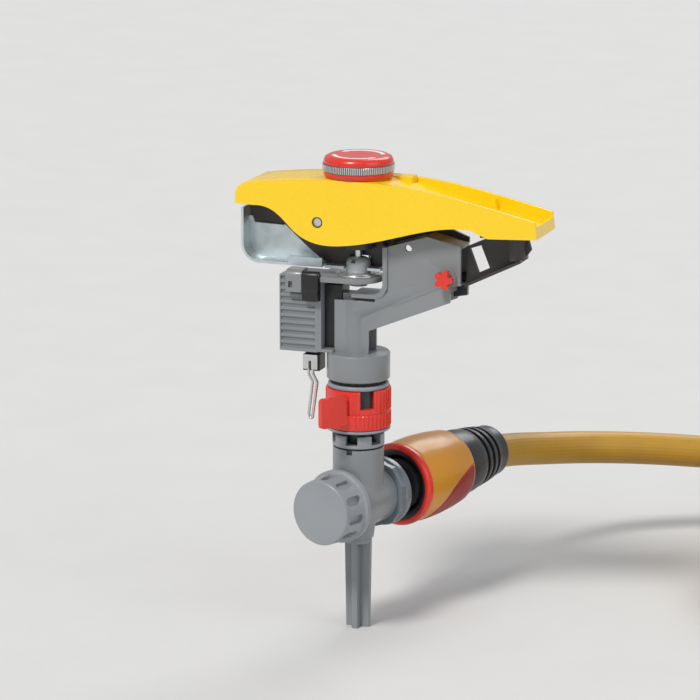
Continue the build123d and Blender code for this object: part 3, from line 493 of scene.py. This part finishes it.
def along_profile(points):
    """Linear interpolation through (along, value) points."""
    def value(x):
        for (x0, y0), (x1, y1) in zip(points, points[1:]):
            if x <= x1:
                return y0 + (y1 - y0) * max(0.0, (x - x0)) / (x1 - x0)
        return points[-1][1]
    return value


# ---- ribs on the arc collars and the knob's band ------------------------------------------------------
COLLAR_RIBS = 46
COLLAR_RADIUS = 14.85
RIB_HALF_WIDTH = 0.72
RIB_HEIGHT = 0.5
RIB_MARGIN = 0.3        # plain band above and below the ribs
# each collar's height range, and the bearings where a tab or a notch leaves its ribs out
for side, low, high, skip in (
    ("lower", COLLAR - 35.2, COLLAR - 27.6, ((-112, -84),)),
    ("upper", COLLAR - 27.5, COLLAR - 16.6, ((-150, -86), (-70, -39), (110, 128))),
):
    verts, faces = bars(RISER, COLLAR_RADIUS, RIB_HALF_WIDTH, RIB_HEIGHT,
                        low + RIB_MARGIN, high - RIB_MARGIN, spread(COLLAR_RIBS, skip))
    add_piece(f"{side}_collar_ribs", verts, faces, "red", f"{side}_collar")

KNOB_LOW = COLLAR + 82.75
KNURL_RIBS = 104
KNURL_RADIUS = 16.40
KNURL_HALF_WIDTH = 0.36
KNURL_HEIGHT = 0.30
verts, faces = bars(RISER, KNURL_RADIUS, KNURL_HALF_WIDTH, KNURL_HEIGHT,
                    KNOB_LOW + 2.75, KNOB_LOW + 6.05, spread(KNURL_RIBS))
add_piece("knob_knurl", verts, faces, "silver", "knob")


def knob_top(radius):
    """Height of the knob's dished top at a radius."""
    return KNOB_LOW + 9.4 + 0.4 * radius / 13.8


ARROW_SPAN = 118        # degrees of each arrow's band
ARROW_HEAD = 17         # degrees of its head
ARROW_STEPS = 26


def knob_arrows():
    """Two curved arrows printed round the knob's top."""
    vertices, faces = [], []
    for start in (20, 200):
        end = start + ARROW_SPAN
        sections = [(start + ARROW_SPAN * step / ARROW_STEPS, 10.3, 12.2) for step in range(ARROW_STEPS + 1)]
        # the head: wide where the band ends, then down to a point
        sections.append((end, 9.6, 12.7))
        sections.append((end + ARROW_HEAD, 11.1, 11.2))
        first = len(vertices)
        for angle, inner, outer in sections:
            for lift in (0.03, -0.2):
                for radius in (inner, outer):
                    vertices.append(RISER.at(radius, angle, knob_top(radius) + lift))
        for index in range(len(sections) - 1):
            a = first + index * 4
            b = a + 4
            faces += [(a, a + 1, b + 1, b), (a + 2, b + 2, b + 3, a + 3), (a, b, b + 2, a + 2),
                      (a + 1, a + 3, b + 3, b + 1)]
        faces.append((first, first + 2, first + 3, first + 1))
        last = first + (len(sections) - 1) * 4
        faces.append((last, last + 1, last + 3, last + 2))
    return vertices, faces


verts, faces = knob_arrows()
add_piece("knob_arrows", verts, faces, "white", "knob")


def lathe(axis, outline, sides=96):
    """A closed ring: the (radius, along) outline carried round the axis."""
    vertices, faces = [], []
    count = len(outline)
    for side in range(sides):
        for radius, along in outline:
            vertices.append(axis.at(radius, 360 * side / sides, along))
    for side in range(sides):
        here, there = side * count, (side + 1) % sides * count
        for index in range(count):
            follow = (index + 1) % count
            faces.append((here + index, here + follow, there + follow, there + index))
    return vertices, faces


def prism(outline, near, far):
    """An outline in X and height over the rotor collar, carried across from y = near to y = far."""
    count = len(outline)
    vertices = [(x, y, COLLAR + height) for y in (near, far) for x, height in outline]
    faces = [tuple(range(count)), tuple(range(count, 2 * count))]
    for index in range(count):
        follow = (index + 1) % count
        faces.append((index, follow, count + follow, count + index))
    return vertices, faces


# ---- painted shade in the linkage cavity, the nozzle end and the pin recess; pivot shim and bearing rim ---
# painted shade: a dark block filling the shadowed cavity between the mechanism cover and the post
shade_block = [(-15.1, 1.5), (-9.7, 1.5), (-9.7, 25), (-6.5, 25), (-6.5, 31.5), (-15.1, 31.5)]
verts, faces = prism(shade_block, -4.2, 6.3)
add_piece("linkage_shade_block", verts, faces, "black_and_shade", "rotor", bevel=0.3)
# painted shade: a dark sheet over the lit inner face of the nozzle end's far wall
verts, faces = prism([(44.9, 28.0), (51.5, 29.5), (51.5, 39.9), (44.9, 39.9)], 4.2, 4.38)
add_piece("nozzle_shade_block", verts, faces, "black_and_shade", "rotor")
PIN_AXIS = Axis((-14.9, 0, COLLAR + 62.4), (0, -1, 0), (1, 0, 0))
# painted shade: a dark ring round the cover pin for the shade inside its recess
verts, faces = lathe(PIN_AXIS, [(1.9, 14.8), (2.55, 14.8), (2.55, 15.06), (2.05, 15.06), (1.98, 14.9)], 48)
add_piece("cover_pin_shade_ring", verts, faces, "black_and_shade", "hammer", smooth=True)
verts, faces = lathe(RISER, [(8.75, COLLAR + 36.1), (10.2, COLLAR + 36.1), (10.4, COLLAR + 36.4),
                             (10.4, COLLAR + 37.0), (10.2, COLLAR + 37.3), (8.75, COLLAR + 37.3)])
add_piece("pivot_shim", verts, faces, "steel", "rotor", smooth=True)
verts, faces = lathe(RISER, [(14.82, 96.7), (15.0, 96.9), (15.0, 97.8), (14.82, 98.0)])
add_piece("bearing_rim", verts, faces, "pale", "base", smooth=True)

# ---- grip panels on the connectors' sleeves -----------------------------------------------------------
GRIP_LOW, GRIP_HIGH = 40.5, 71.4        # along the connector's axis
GRIP_STEPS = 30
GRIP_LIFT = 0.28
sleeve_radius = along_profile([(34.2, 19.4), (44, 20.0), (52, 20.0), (62, 19.4), (72, 18.2)])
grip_edge = along_profile([(GRIP_LOW, -62), (42, -44), (45, -30), (48, -19), (51, -9), (57, 1), (63, 8),
                           (GRIP_HIGH, 16)])


def grip_sides(along):
    """The panel's two bearings at a place along the axis: it widens towards the hose."""
    angle = grip_edge(along)
    return -angle, 180 + angle


for side, axis in (("near", PORT_AXIS), ("far", FAR_AXIS)):
    verts, faces = patch(axis, sleeve_radius, grip_sides, GRIP_LOW, GRIP_HIGH, GRIP_STEPS, GRIP_LIFT)
    add_piece(f"{side}_grip", verts, faces, "maroon", f"{side}_slide", smooth=True)
    # painted shade: a dark skin inside the lip ring's flared opening
    verts, faces = lathe(axis, [(17.0, 30.35), (13.1, 33.45), (13.1, 33.75), (17.1, 30.65)])
    add_piece(f"{side}_mouth_shade", verts, faces, "black_and_shade", f"{side}_slide", smooth=True)

# ---- floor and light -----------------------------------------------------------------------------------
FLOOR_SIZE = 6.0        # metres from the middle to each side
FLOOR = plastic("studio_floor", (0.66, 0.66, 0.65), (0.64, 0.64, 0.63), 0.8, 0, 0.00002, 300, 0)


def make_stage():
    """A pale floor, soft surroundings and three wide lamps."""
    mesh = bpy.data.meshes.new("floor")
    corners = [(x * FLOOR_SIZE, y * FLOOR_SIZE, 0) for x, y in ((-1, -1), (1, -1), (1, 1), (-1, 1))]
    mesh.from_pydata(corners, [], [(0, 1, 2, 3)])
    mesh.materials.append(FLOOR)
    floor = show(bpy.data.objects.new("floor", mesh))
    world = bpy.data.worlds.new("studio")
    world.use_nodes = True
    world.node_tree.nodes["Background"].inputs[0].default_value = (0.93, 0.95, 1.0, 1)
    world.node_tree.nodes["Background"].inputs[1].default_value = 0.45
    bpy.context.scene.world = world
    for name, source, softness, power, colour in (
        ("key", back * 0.9 - right * 0.65 + UP * 1.1, 14, 2.0, (1, 0.975, 0.94)),
        ("fill", back * 0.8 + right * 1.0 + UP * 0.5, 40, 0.45, (0.94, 0.97, 1)),
        ("rim", -back * 0.9 + right * 0.4 + UP * 1.0, 30, 0.8, (1, 1, 1)),
    ):
        data = bpy.data.lights.new(name, "SUN")
        data.angle = math.radians(softness)
        data.energy = power
        data.color = colour
        lamp = show(bpy.data.objects.new(name, data))
        lamp.location = source
        lamp.rotation_euler = source.to_track_quat("Z", "Y").to_euler()


make_stage()
bpy.context.scene.view_settings.view_transform = "Standard"
